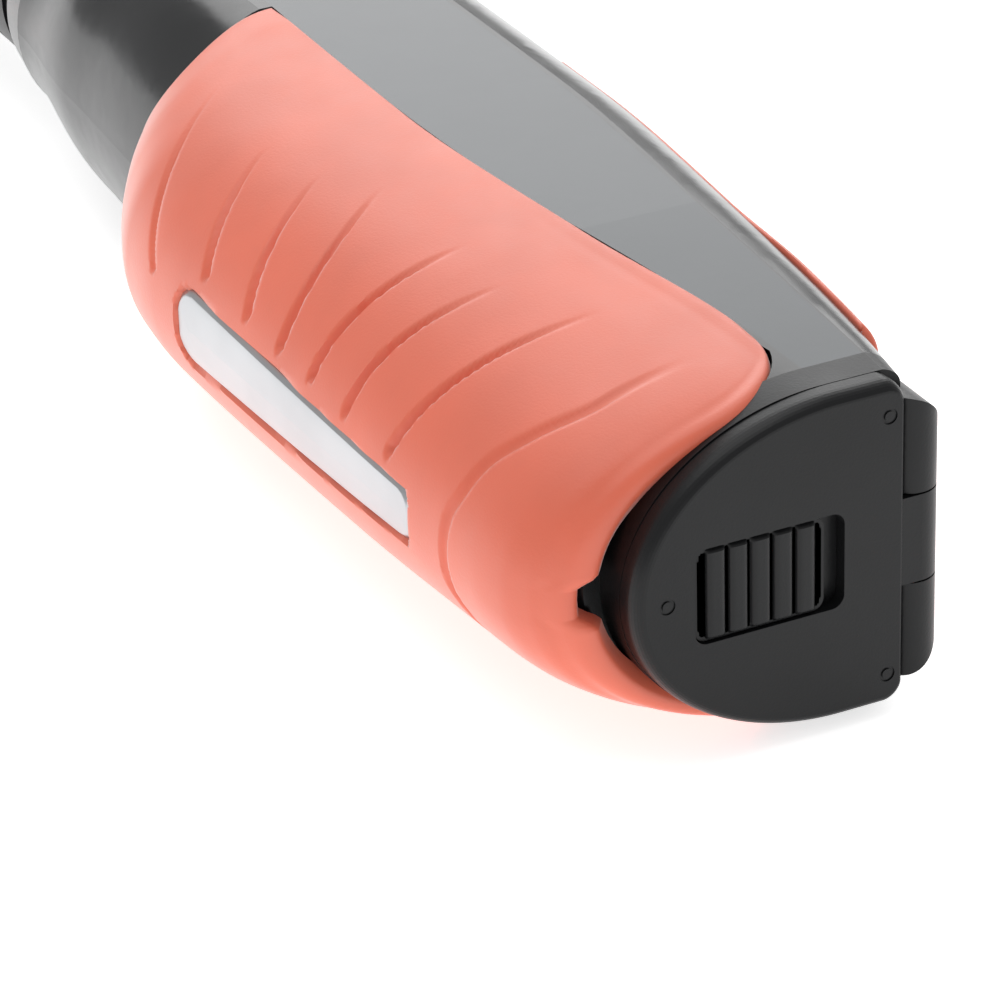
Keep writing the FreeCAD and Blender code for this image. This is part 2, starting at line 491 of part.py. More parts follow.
# ---- probe tube, tip, collar and seal ----
TUBE_X, TIP_START = 152.0, 231.0
axis_at = lambda x: V(x, PROBE_Y, 0)
seat_bore = rod(axis_at(TUBE_X), X, NECK_R, 20)
thumb_housing = thumb_housing.cut(seat_bore)
palm_housing = palm_housing.cut(seat_bore)
RING_X, RING_R = 168.6, 0.9
seal = Part.makeTorus(PROBE_R + 0.35, RING_R, axis_at(RING_X), X)
probe_tube = rod(axis_at(TUBE_X), X, NECK_R, NECK_END - TUBE_X).fuse(rod(axis_at(NECK_END), X, PROBE_R,
                                                                         TIP_START - NECK_END))
probe_tube = probe_tube.cut(rod(axis_at(TUBE_X - 1), X, PROBE_R - 1.6, TIP_START - TUBE_X + 2)).cut(seal)
for i in range(4):
    groove = Part.makeTorus(PROBE_R + 0.25, 0.6, axis_at(183.0 + 11.0 * i), X)
    probe_tube = probe_tube.cut(groove)
collar = Part.makeCone(NOSE_R, PROBE_R + 0.9, 6.0, axis_at(NOSE_X), X).cut(
    rod(axis_at(NOSE_X - 1), X, NECK_R, 10)).cut(seal)
dome = rod(axis_at(TIP_START), X, PROBE_R, TIP_X - TIP_START)
dome = dome.makeFillet(6.5, [e for e in dome.Edges if e.Closed and e.CenterOfMass.x > TIP_X - 0.1])
spigot = rod(axis_at(TIP_START - 4.5), X, PROBE_R - 1.6, 4.6)
probe_tip = dome.fuse(spigot).cut(rod(axis_at(TIP_START - 5), X, PROBE_R - 3.2, 8.0))

# ---- search coil ----
ferrite_rod = rod(axis_at(176), X, 4.0, 48)
bobbin = tube(axis_at(180), X, 5.2, 4.05, 40)
for flange_x in (180.0, 199.4, 218.5):
    bobbin = bobbin.fuse(tube(axis_at(flange_x), X, PROBE_R - 1.7, 5.0, 1.5))
transmit_winding = tube(axis_at(181.5), X, 7.6, 5.2, 17.9)
receive_winding = tube(axis_at(200.9), X, 7.6, 5.2, 17.6)
LEAD_Z = 6.5
coil_plug = rod(axis_at(172), X, PROBE_R - 1.65, 3.5)
for side in (1, -1):
    coil_plug = coil_plug.cut(rod(axis_at(171) + Z * (side * LEAD_Z), X, 0.7, 6))

# ---- torch beside the nose ----
TORCH_Y = -5.6
torch_at = lambda x: V(x, TORCH_Y, 0)
torch_bezel = tube(torch_at(149), X, 4.0, 3.1, 15.5).fuse(rod(torch_at(149), X, 4.0, 1.2))
torch_bezel = torch_bezel.cut(rod(torch_at(148), X, 0.8, 3))
thumb_housing = thumb_housing.cut(rod(torch_at(149), X, 4.0, 20))
torch_led = rod(torch_at(150.2), X, 3.0, 1.0).fuse(rod(torch_at(150.2), X, 2.5, 6.5)).fuse(
    Part.makeSphere(2.5, torch_at(156.7)))
torch_reflector = Part.makeCone(2.6, 3.1, 3.0, torch_at(159.6), X).cut(
    Part.makeCone(2.0, 2.85, 3.02, torch_at(159.59), X))
torch_lens = rod(torch_at(162.7), X, 3.1, 1.2)


def lead(points, radius=0.5):
    """Insulated wire: straight runs joined by tangent arcs."""
    edges = []
    start = points[0]
    for before, corner, after in zip(points, points[1:], points[2:]):
        a, b = (before - corner), (after - corner)
        reach = 0.42 * min(a.Length, b.Length)
        p, q = corner + V(a).normalize() * reach, corner + V(b).normalize() * reach
        bisector = (V(a).normalize() + V(b).normalize()).normalize()
        half = V(a).getAngle(V(b)) / 2
        middle = corner + bisector * (reach / math.cos(half) - reach * math.tan(half))
        edges += [Part.makeLine(start, p), Part.Arc(p, middle, q).toShape()]
        start = q
    edges.append(Part.makeLine(start, points[-1]))
    path = Part.Wire(edges)
    profile = Part.Wire(Part.makeCircle(radius, points[0], points[1] - points[0]))
    return path.makePipeShell([profile], True, True)


coil_leads = [lead([V(179.95, PROBE_Y, LEAD_Z * s), V(169, PROBE_Y, LEAD_Z * s), V(159, 8.5, 5.0 * s),
                    V(150, 3.5, 4.0 * s), V(143.5, 1.5, 3.0 * s), V(139.5, board_top + 0.4, 2.0 * s)])
              for s in (1, -1)]
battery_leads = [lead([V(BULKHEAD + 2.15, CELL_Y, 5.0 * s), V(70, 8.0, 4.5 * s), V(80, 2.5, 4.0 * s),
                       V(91, -0.3, 3.5 * s), V(99, 0.8, 2.5 * s), V(106, board_top + 0.4, 0.8 * s)])
                 for s in (1, -1)]


# ---- pieces and their names ----
add("thumb_housing", main_solid(thumb_housing.cut(thumb_grip)))
add("palm_housing", main_solid(palm_housing))
add("palm_grip", main_solid(palm_grip))
add("thumb_grip", main_solid(thumb_grip))
add("palm_badge", main_solid(palm_badge))
add("upper_panel", main_solid(upper_panel))
add("lower_panel", main_solid(lower_panel))
add("rear_frame", rear_frame)
add("hinge_pin", hinge_pin)
add("latch_catch", latch_catch)
add("battery_door", battery_door)
add("door_seals", group(door_seals.Solids))
add("latch_slider", latch_slider)
add("door_contact", door_contact)
add("door_spring", door_spring)
add("battery_tray", battery_tray)
add("cell_upper", cell_upper)
add("cell_lower", cell_lower)
add("bay_contact", bay_contact)
add("bay_plate", bay_plate)
add("bay_spring", bay_spring)
add("housing_screws", group(housing_screws))
add("main_board", main_board)
add("board_screws", group(board_screws))
add("tact_switches", group(switches))
add("board_chips", group(chips))
add("smoothing_capacitor", capacitor)
add("status_led", status_led)
add("light_pipe", light_pipe)
add("power_button", power_button)
add("mode_button", mode_button)
add("sounder", sounder)
add("vibration_motor", motor_body)
add("eccentric_weight", eccentric)
add("motor_cradle", main_solid(motor_cradle))
add("probe_tube", probe_tube)
add("probe_collar", collar)
add("probe_seal", seal)
add("probe_tip", probe_tip)
add("ferrite_rod", ferrite_rod)
add("coil_bobbin", bobbin)
add("transmit_winding", transmit_winding)
add("receive_winding", receive_winding)
add("coil_plug", coil_plug)
add("torch_bezel", torch_bezel)
add("torch_led", torch_led)
add("torch_reflector", torch_reflector)
add("torch_lens", torch_lens)
add("coil_leads", group(coil_leads))
add("battery_leads", group(battery_leads))


def write_parts():
    """Moves every piece to the part's frame and writes one STEP file for each node."""
    os.makedirs("parts", exist_ok=True)
    palm_most = max(point.y for point in PARTS["palm_grip"].tessellate(0.02)[0])
    thumb_most = min(point.y for point in PARTS["thumb_grip"].tessellate(0.02)[0])
    shift = V(-TIP_X / 2, -(palm_most + thumb_most) / 2, PANEL_FLAT)
    for name, shape in PARTS.items():
        moved = shape.copy()
        moved.translate(shift)
        moved.exportStep(os.path.join("parts", name + ".step"))
    print("moved by", shift)


write_parts()
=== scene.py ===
import json
import math
import bpy
import numpy as np
from mathutils import Matrix, Vector


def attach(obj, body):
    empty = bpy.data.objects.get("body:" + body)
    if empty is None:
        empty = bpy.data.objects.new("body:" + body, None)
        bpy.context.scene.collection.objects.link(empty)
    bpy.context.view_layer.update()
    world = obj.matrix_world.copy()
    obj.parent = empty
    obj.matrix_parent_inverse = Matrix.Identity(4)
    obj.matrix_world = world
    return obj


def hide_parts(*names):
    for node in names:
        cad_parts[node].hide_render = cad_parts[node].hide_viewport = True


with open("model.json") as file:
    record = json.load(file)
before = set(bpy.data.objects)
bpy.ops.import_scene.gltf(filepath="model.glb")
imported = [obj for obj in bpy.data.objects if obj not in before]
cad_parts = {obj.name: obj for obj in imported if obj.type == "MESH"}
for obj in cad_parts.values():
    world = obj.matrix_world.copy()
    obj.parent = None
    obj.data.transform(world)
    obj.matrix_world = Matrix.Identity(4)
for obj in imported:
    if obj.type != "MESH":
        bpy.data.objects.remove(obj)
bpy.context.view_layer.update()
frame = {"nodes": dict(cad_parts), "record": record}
NODES = frame["nodes"]

# The handle frame that the shapes are drawn in: millimetres, x from the battery door to the probe
# tip, +y to the palm side, z = 0 the plane of symmetry.  SHIFT takes it to the part's own frame,
# and comes from the door hinge, whose place is known in both.
MM = 0.001
HINGE = np.array([2.9, -2.0, 0.0])
JOINTS = {joint["name"]: joint for joint in frame["record"]["behaviour"]["joints"]}
SHIFT = np.array(JOINTS["door_hinge"]["pos_m"]) / MM - HINGE
PANEL_FLAT = 19.0
SWELL_FULL = 0.578


def smooth(points):
    """Monotone cubic through a few points, as a function of an array."""
    xs, ys = (np.array(v, float) for v in zip(*points))
    steps = np.diff(xs)
    rises = np.diff(ys) / steps
    slopes = np.concatenate([rises[:1], np.zeros(len(steps) - 1), rises[-1:]])
    for i in range(1, len(steps)):
        left, right = rises[i - 1], rises[i]
        if left * right > 0:
            slopes[i] = (steps[i - 1] + steps[i]) / (steps[i - 1] / left + steps[i] / right)

    def value(x):
        x = np.asarray(x, float)
        i = np.clip(np.searchsorted(xs, x, "right") - 1, 0, len(steps) - 1)
        s = (x - xs[i]) / steps[i]
        return (ys[i] * (1 + 2 * s) * (1 - s) ** 2 + ys[i + 1] * s * s * (3 - 2 * s)
                + steps[i] * (slopes[i] * s * (1 - s) ** 2 - slopes[i + 1] * s * s * (1 - s)))
    return value


height = smooth([(0, 17.9), (30, 18.7), (55, 19.1), (125, 19.1), (150, 17.8), (170, 16.5)])
flat_side = smooth([(0, -0.3), (20, -5.1), (45, -8.5), (80, -11.3), (118, -11.4), (145, -9.6), (170, -6.0)])
crease = smooth([(0, 1.2), (20, 0.0), (45, -1.3), (80, -3.3), (115, -3.2), (170, -1.0)])
panel_edge = smooth([(0, 7.5), (20, 8.8), (45, 12.6), (80, 15.3), (125, 14.9), (170, 13.5)])
palm_swell = smooth([(2, 31.2), (3.4, 32.8), (5, 35.6), (7.5, 38.0), (11, 39.3), (16, 39.9), (40, 41.2),
                     (70, 42.1), (88, 42.4), (97, 41.6), (104, 39.3), (110, 36.2), (115, 33.2), (119, 31.4)])


def ease(t):
    t = np.clip(t, 0.0, 1.0)
    return t * t * (3 - 2 * t)


# ---- meshes on curved surfaces ----
def palm_point(x, w):
    """Point on the palm swell; w runs from 1 at the upper gloss panel to -1 at the lower."""
    edge, high, apex = panel_edge(x), np.minimum(height(x), PANEL_FLAT), palm_swell(x)
    t = 1 - np.abs(w)
    a, b, c, d = (1 - t) ** 3, 3 * (1 - t) ** 2 * t, 3 * (1 - t) * t * t, t ** 3
    y = a * edge + b * (edge + SWELL_FULL * (apex - edge)) + (c + d) * apex
    z = (a + b + c * SWELL_FULL) * high * np.sign(w)
    return np.stack([x, y, z], -1)


def grid_normals(points, inside):
    """Unit normals of a grid of points, turned away from the line through inside along x."""
    across, along = np.gradient(points, axis=1), np.gradient(points, axis=0)
    normals = np.cross(along, across)
    normals /= np.maximum(np.linalg.norm(normals, axis=2, keepdims=True), 1e-9)
    outward = points - np.array([0.0, inside, 0.0])
    outward[..., 0] = 0
    flip = np.sign((normals * outward).sum(2).mean())
    return normals * flip


def grid_faces(rows, columns, start=0, flip=False):
    i, j = np.meshgrid(np.arange(rows - 1), np.arange(columns - 1), indexing="ij")
    a = (start + i * columns + j).ravel()
    quads = np.stack([a, a + 1, a + columns + 1, a + columns], 1)
    return quads[:, ::-1] if flip else quads


def add_object(name, points, faces, material, body, smooth_angle=35):
    """Object from points in the handle frame, riding on a CAD body."""
    mesh = bpy.data.meshes.new(name)
    mesh.from_pydata(((np.asarray(points) + SHIFT) * MM).tolist(), [], np.asarray(faces).tolist()
                     if isinstance(faces, np.ndarray) else faces)
    mesh.validate()
    mesh.update()
    mesh.materials.append(material)
    mesh.polygons.foreach_set("use_smooth", [True] * len(mesh.polygons))
    mesh.set_sharp_from_angle(angle=math.radians(smooth_angle))
    obj = bpy.data.objects.new(name, mesh)
    bpy.context.scene.collection.objects.link(obj)
    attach(obj, body)
    return obj


def shell_mesh(outer, normals, thickness):
    """Closed shell: the outer grid, the same grid moved in by thickness, and the walls between."""
    rows, columns = outer.shape[:2]
    inner = outer - normals * np.asarray(thickness)[..., None]
    points = np.concatenate([outer.reshape(-1, 3), inner.reshape(-1, 3)])
    count = rows * columns
    faces = [grid_faces(rows, columns), grid_faces(rows, columns, count, True)]
    index = np.arange(count).reshape(rows, columns)
    rim = np.concatenate([index[0, :-1], index[:-1, -1], index[-1, :0:-1], index[:0:-1, 0]])
    after = np.roll(rim, -1)
    faces.append(np.stack([after, rim, rim + count, after + count], 1))
    faces = np.concatenate(faces)
    a, b, c = (points[faces[:count // 2, k]] for k in (0, 1, 2))
    facing = (np.cross(b - a, c - b) * normals.reshape(-1, 3)[faces[:count // 2, 0]]).sum()
    return points, faces if facing > 0 else faces[:, ::-1]


def spaced(length, step, near):
    """Fractions from 0 to 1 along a length, close together at both ends where an edge rolls over."""
    start = np.array(near) / length
    count = int((1 - 2 * start[-1]) * length / step)
    return np.concatenate([start[:-1], np.linspace(start[-1], 1 - start[-1], count), 1 - start[-2::-1]])


def roll(distance, radius):
    """Depth of a rounded edge at some distance in from it."""
    d = np.clip(radius - distance, 0.0, radius)
    return radius - np.sqrt(radius ** 2 - d ** 2)


# ---- materials ----
def node_material(name, colour, rough, **values):
    """Principled material with grain, slow colour change and uneven gloss from object coordinates."""
    m = bpy.data.materials.new(name)
    m.use_nodes = True
    nodes, links = m.node_tree.nodes, m.node_tree.links
    shader = nodes["Principled BSDF"]
    coords = nodes.new("ShaderNodeTexCoord")

    def noise(scale, detail, stretch=None):
        n = nodes.new("ShaderNodeTexNoise")
        n.inputs["Scale"].default_value = scale
        n.inputs["Detail"].default_value = detail
        if stretch:
            mapping = nodes.new("ShaderNodeMapping")
            mapping.inputs["Scale"].default_value = stretch
            links.new(coords.outputs["Object"], mapping.inputs["Vector"])
            links.new(mapping.outputs["Vector"], n.inputs["Vector"])
        else:
            links.new(coords.outputs["Object"], n.inputs["Vector"])
        return n.outputs["Fac"]

    spread = values.pop("spread", 0.12)
    ramp = nodes.new("ShaderNodeValToRGB")
    for i, k in enumerate((1 - spread, 1 + spread)):
        ramp.color_ramp.elements[i].position = 0.35 + 0.3 * i
        ramp.color_ramp.elements[i].color = (*[min(c * k, 1.0) for c in colour], 1)
    links.new(noise(values.pop("patch", 60.0), 3.0), ramp.inputs["Fac"])
    links.new(ramp.outputs["Color"], shader.inputs["Base Color"])
    gloss = nodes.new("ShaderNodeMapRange")
    uneven = values.pop("uneven", 0.06)
    gloss.inputs["To Min"].default_value = max(rough - uneven, 0.02)
    gloss.inputs["To Max"].default_value = rough + uneven
    links.new(noise(values.pop("smear", 220.0), 4.0, values.pop("stretch", None)), gloss.inputs["Value"])
    links.new(gloss.outputs["Result"], shader.inputs["Roughness"])
    grain, depth = values.pop("grain", (2600.0, 0.02))
    bump = nodes.new("ShaderNodeBump")
    bump.inputs["Strength"].default_value = 1.0
    bump.inputs["Distance"].default_value = depth * MM
    links.new(noise(grain, 2.0, values.pop("grain_stretch", None)), bump.inputs["Height"])
    links.new(bump.outputs["Normal"], shader.inputs["Normal"])
    for key, value in values.items():
        shader.inputs[key].default_value = value
    return m


MATERIALS = {
    "black_gloss": node_material("black_gloss", (0.008, 0.0085, 0.0095), 0.2, grain=(900.0, 0.005),
                                 uneven=0.05, **{"Specular IOR Level": 0.42}),
    "panel_gloss": node_material("panel_gloss", (0.008, 0.010, 0.0125), 0.17, grain=(700.0, 0.004),
                                 uneven=0.04, **{"Specular IOR Level": 0.45,
                                                 "Specular Tint": (0.9, 0.96, 1, 1)}),
    "black_matte": node_material("black_matte", (0.007, 0.0073, 0.008), 0.36, grain=(3200.0, 0.016),
                                 uneven=0.06, **{"Specular IOR Level": 0.27}),
    "orange_soft": node_material("orange_soft", (0.79, 0.150, 0.078), 0.46, grain=(3600.0, 0.020),
                                 spread=0.05, **{"Sheen Weight": 0.6, "Sheen Roughness": 0.35,
                                                 "Specular IOR Level": 0.75, "Subsurface Weight": 0.08,
                                                 "Subsurface Scale": 0.002}),
    "silver": node_material("silver", (0.50, 0.51, 0.525), 0.34, grain=(5200.0, 0.012), spread=0.04,
                            grain_stretch=(0.02, 1, 1), Metallic=1.0),
    "steel": node_material("steel", (0.55, 0.55, 0.56), 0.3, grain=(2400.0, 0.01), spread=0.08, Metallic=1.0),
    "nickel": node_material("nickel", (0.68, 0.66, 0.6), 0.22, grain=(2400.0, 0.006), spread=0.08,
                            Metallic=1.0),
    "rubber_black": node_material("rubber_black", (0.018, 0.018, 0.019), 0.62, grain=(3400.0, 0.03)),
    "board_green": node_material("board_green", (0.012, 0.10, 0.035), 0.38, grain=(1200.0, 0.02), spread=0.2),
    "chip_black": node_material("chip_black", (0.014, 0.014, 0.015), 0.5, grain=(3800.0, 0.02)),
    "cell_label": node_material("cell_label", (0.03, 0.034, 0.042), 0.3, grain=(500.0, 0.01)),
    "copper": node_material("copper", (0.62, 0.25, 0.1), 0.3, grain=(4200.0, 0.03), spread=0.12,
                            grain_stretch=(1, 0.04, 0.04), Metallic=1.0),
    "ferrite": node_material("ferrite", (0.022, 0.022, 0.024), 0.5, grain=(2600.0, 0.03)),
    "nylon": node_material("nylon", (0.72, 0.70, 0.64), 0.45, grain=(2600.0, 0.02), spread=0.05),
    "clear_lens": node_material("clear_lens", (0.95, 0.96, 0.98), 0.04, grain=(500.0, 0.002), uneven=0.02,
                                spread=0.02, IOR=1.49, **{"Transmission Weight": 1.0}),
    "led_white": node_material("led_white", (0.9, 0.84, 0.5), 0.2, grain=(800.0, 0.004), spread=0.05),
    "chrome_ring": node_material("chrome_ring", (0.8, 0.8, 0.82), 0.08, grain=(800.0, 0.003), spread=0.03,
                                 uneven=0.03, Metallic=1.0),
    "lead_red": node_material("lead_red", (0.45, 0.02, 0.02), 0.4, grain=(1400.0, 0.02)),
}
SLOT_OF = {p["node"]: p["material_slot"] for p in frame["record"]["subparts"] if p.get("material_slot")}
for name, node in NODES.items():
    node.data.materials.clear()
    node.data.materials.append(MATERIALS[SLOT_OF[name]])

# ---- palm grip: soft skin with finger grooves, a shallow lip and a recess for the inlay ----
REAR, FRONT = 3.4, 116.5
FRONT_BOW, BOW_Z = 4.4, 14.0                   # how far back the front edge bows, and how far out
PROUD = 0.3                                    # the grip stands this far out of the gloss panels
CORNER_X, CORNER_RISE = 14.2, 13.0             # where the rear edge's rounded corner ends, and its rise
NOTCH = ((3.0, 3.3), (1.6, 4.2))                # half height and x where it opens and where it ends
BADGE = smooth([(24, 3.0), (28.2, 3.1), (55, 3.84), (84, 4.65)])
BADGE_ENDS = (28.2, 82.4)
BADGE_RADII = (1.9, 3.0)                       # corner radii at the rear and front ends
# inset from the edge and height of each ring of the inlay, from the middle line out
BADGE_RINGS = [(3.0, 0.0), (2.2, 0.0), (1.4, 0.0), (0.75, 0.0), (0.62, -0.02), (0.28, -0.30),
               (0.16, -0.36), (0.06, -0.45), (0.0, -0.6), (0.0, -1.1)]
# finger grooves: arc position and x of the blunt end by the inlay, the same where it fades, its
# depth, and its bow (1 is straight, and above 1 it runs straight up first, then leans)
GROOVES = [((0.10, 88.5), (0.62, 101.5), 0.40, 1.0), ((0.20, 77.0), (0.57, 84.0), 0.60, 1.0),
           ((0.19, 66.5), (0.61, 73.5), 0.75, 1.0), ((0.18, 58.5), (0.71, 65.5), 0.80, 1.6),
           ((0.17, 51.0), (0.71, 48.5), 0.85, 1.6), ((0.16, 43.0), (0.67, 39.0), 0.85, 1.6),
           ((0.15, 33.5), (0.77, 27.5), 0.85, 1.0)]
LOWER_START = 0.30                             # the lower half's grooves start this far out
# x of the rearmost groove, which wraps the whole grip, against arc position
WRAP = smooth([(0.0, 20.9), (0.10, 20.8), (0.17, 20.0), (0.28, 19.0), (0.40, 16.8), (0.58, 14.2),
               (0.80, 14.0)])


def arc_tables():
    """Arc length fraction against curve parameter, and arc length, for a typical section."""
    t = np.linspace(0, 1, 200)
    p = palm_point(np.full(200, 60.0), 1 - t)
    run = np.concatenate([[0], np.cumsum(np.linalg.norm(np.diff(p, axis=0), axis=1))])
    return t, run / run[-1], run[-1]


ARC_T, ARC_S, ARC_LENGTH = arc_tables()


def on_palm(x, arc):
    """Point on the palm at signed arc position, 0 on the plane of symmetry and 1 at the panel."""
    t = np.interp(1 - np.abs(arc), ARC_S, ARC_T)
    sign = np.where(arc < 0, -1.0, 1.0)
    return palm_point(x, sign * (1 - t))


def rear_edge(arc):
    """x of the grip's rear edge: rounded corners by the panels, and the notch over the latch."""
    point = on_palm(np.full(arc.shape, 8.0), arc)
    rise = np.clip(point[..., 1] - panel_edge(CORNER_X), 0, CORNER_RISE) / CORNER_RISE
    corner = CORNER_X - (CORNER_X - REAR) * np.sqrt(1 - (1 - rise) ** 2)
    z = np.abs(point[..., 2])
    (wide, mouth), (narrow, end) = NOTCH
    notch = mouth + (end - mouth) * np.clip((wide - z) / (wide - narrow), 0, 1)
    return np.where(z < wide, np.maximum(corner, notch), corner)


def front_edge(arc):
    z = on_palm(np.full(arc.shape, 112.0), arc)[..., 2]
    return FRONT - FRONT_BOW * (1 - (1 - (z / BOW_Z) ** 2) ** 2)


def inlay_gap(x, lateral):
    """Distance from the inlay's edge over the surface, below 0 inside it."""
    mid = sum(BADGE_ENDS) / 2
    radius = np.where(x < mid, BADGE_RADII[0], BADGE_RADII[1])
    out_x = np.abs(x - mid) - (BADGE_ENDS[1] - mid - radius)
    out_y = lateral * ARC_LENGTH - (BADGE(x) - radius)
    outside = np.hypot(np.maximum(out_x, 0), np.maximum(out_y, 0))
    return outside + np.minimum(np.maximum(out_x, out_y), 0) - radius


def build_palm_grip():
    near = [0, 0.04, 0.12, 0.24, 0.4, 0.6, 0.85, 1.15]
    u = spaced(110.0, 0.27, near)[:, None]
    half = spaced(2 * ARC_LENGTH, 0.55, near)
    notch_rows = np.array((3.7, 3.5, 3.3, 2.6, 2.0, 1.8, 1.6)) / ARC_LENGTH
    arc = np.unique(np.round(np.concatenate([2 * half - 1, notch_rows, -notch_rows]), 5))[None, :]
    rear, front = rear_edge(arc), front_edge(arc)
    x = rear + (front - rear) * u
    arc = np.broadcast_to(arc, x.shape)
    points = on_palm(x, arc)
    normals = grid_normals(points, 8.0)
    lateral = np.abs(arc)
    depth = np.zeros(x.shape)
    for (start, start_x), (end, end_x), deep, bow in GROOVES:
        up = np.clip((lateral - start) / (end - start), 0, 1)
        centre = start_x + (end_x - start_x) * up ** bow
        reach = ease((end + 0.03 - lateral) / (end - start) * 1.5)
        reach = np.where(arc < 0, reach * ease((lateral - LOWER_START) / 0.06), reach)
        width = 0.72 - 0.3 * up
        below = np.clip(start - lateral, 0, None) * ARC_LENGTH
        off = np.sqrt((x - centre) ** 2 + below ** 2) / width
        depth = np.maximum(depth, deep * reach * np.clip(1 - off ** 2, 0, 1) ** 0.8)
    wrap = np.abs(x - WRAP(np.clip(lateral, 0, 0.8))) / 0.8
    depth = np.maximum(depth, 0.5 * ease((0.84 - lateral) / 0.4) * np.clip(1 - wrap ** 2, 0, 1) ** 0.8)
    edge_up = (1 - lateral) * ARC_LENGTH
    edge_rear, edge_front = x - rear, front - x
    lip = np.minimum(edge_up, edge_rear * 0.9)
    depth += 0.14 * np.exp(-((lip - 1.9) / 0.45) ** 2) * ease((60 - x) / 30)
    depth += 0.10 * ease((lip - 1.9) / 0.5) * ease((60 - x) / 30) * ease((9 - lip) / 5)
    depth += roll(np.minimum(edge_up, edge_front), 0.5) - PROUD * ease(edge_rear / 6) * ease(edge_front / 6)
    depth += roll(edge_rear, 1.1)
    depth += 0.9 * ease(-inlay_gap(x, lateral) / 0.25 + 0.6)
    outer = points - normals * depth[..., None]
    verts, faces = shell_mesh(outer, normals, np.full(x.shape, 1.6))
    grip = add_object("palm_grip_skin", verts, faces, MATERIALS["orange_soft"], "handle", 50)
    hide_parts("palm_grip")


build_palm_grip()


def rounded_outline(half, count):
    """Outline of the inlay: x in mm from its middle, and the part of its half width across."""
    corners = []
    for k, (sx, sy) in enumerate(((1, 1), (-1, 1), (-1, -1), (1, -1))):
        end = 1 if sx > 0 else 0
        radius = BADGE_RADII[end]
        part = radius / float(BADGE(BADGE_ENDS[end]))
        a = math.radians(90 * k) + np.linspace(0, math.pi / 2, count)
        corners.append(np.stack([sx * (half - radius) + radius * np.cos(a),
                                 sy * (1 - part) + part * np.sin(a)], 1))
    points = np.concatenate(corners)
    outline = []
    for a, b in zip(points, np.roll(points, -1, axis=0)):
        parts = max(int(np.linalg.norm(b - a) / 1.2), 1)
        outline += [a + (b - a) * i / parts for i in range(parts)]
    return np.array(outline)


def build_badge():
    """Tapered satin inlay with round ends and a bright bevel all round."""
    mid, half = sum(BADGE_ENDS) / 2, (BADGE_ENDS[1] - BADGE_ENDS[0]) / 2
    unit = rounded_outline(half, 12)
    count = len(unit)
    points = []
    for inset, lift in BADGE_RINGS:
        x = mid + unit[:, 0] * (1 - inset / half)
        across = unit[:, 1] * np.maximum(BADGE(x) - inset, 0.0)
        if inset == BADGE_RINGS[0][0]:
            across = unit[:, 1] * 0.0
        p = on_palm(x, across / ARC_LENGTH)
        along = on_palm(x + 0.1, across / ARC_LENGTH) - p
        normal = np.cross(along, on_palm(x, across / ARC_LENGTH + 0.003) - p)
        normal /= np.linalg.norm(normal, axis=1, keepdims=True)
        normal *= np.sign(normal[:, 1:2])
        points.append(p + normal * (lift + 0.06))
    flat = np.array(points).reshape(-1, 3)
    i, j = np.meshgrid(np.arange(len(BADGE_RINGS) - 1), np.arange(count), indexing="ij")
    a, b = (i * count + j).ravel(), (i * count + (j + 1) % count).ravel()
    faces = np.stack([a, b, b + count, a + count], 1)
    p, q, r = (flat[faces[:, k]] for k in (0, 1, 2))
    if (np.cross(q - p, r - q)[:, 1]).sum() < 0:
        faces = faces[:, ::-1]
    base = (len(BADGE_RINGS) - 1) * count
    badge = add_object("palm_badge_plate", flat, faces.tolist() + [list(range(base, base + count))],
                       MATERIALS["silver"], "handle", 30)
    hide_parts("palm_badge")


build_badge()

# ---- thumb grip: soft pad that fills its recess in the flat side and is proudest near the door ----
PAD_RISE = smooth([(10, 1.2), (30, 1.2), (48, 0.25), (106, 0.2)])
PAD_HALF = 16.6
PAD_REAR, PAD_FRONT = 12.0, 104.0              # x of its ends on the middle line
PAD_GROOVES, GROOVE_START, GROOVE_PITCH = 9, 26.0, 8.4


def thumb_point(x, s):
    """Point on the flat side, s from -1 to 1 across it, on the curves of the body's section."""
    rise = PAD_RISE(x)
    flat, inner, high = flat_side(x) - rise, crease(x) - 0.6 * rise, height(x)
    drop = inner - flat
    side = high - drop
    a = np.abs(s)
    u = np.clip(a / 0.72, 0, 1)
    v = np.clip((a - 0.72) / 0.28, 0, 1) * 0.6
    y_side = flat - 0.3 * (1 - u) ** 2 * (1 + 2 * u)
    z_side = u * side
    y_corner = ((1 - v) ** 3 * flat + 3 * (1 - v) ** 2 * v * flat
                + 3 * (1 - v) * v * v * (inner - 0.6 * drop) + v ** 3 * inner)
    z_corner = ((1 - v) ** 3 * side + 3 * (1 - v) ** 2 * v * (high - 0.5 * drop)
                + 3 * (1 - v) * v * v * (high - 0.15 * drop) + v ** 3 * high)
    corner = a > 0.72
    z = np.where(corner, z_corner, z_side) * np.sign(s)
    return np.stack([x, np.where(corner, y_corner, y_side), z], -1)


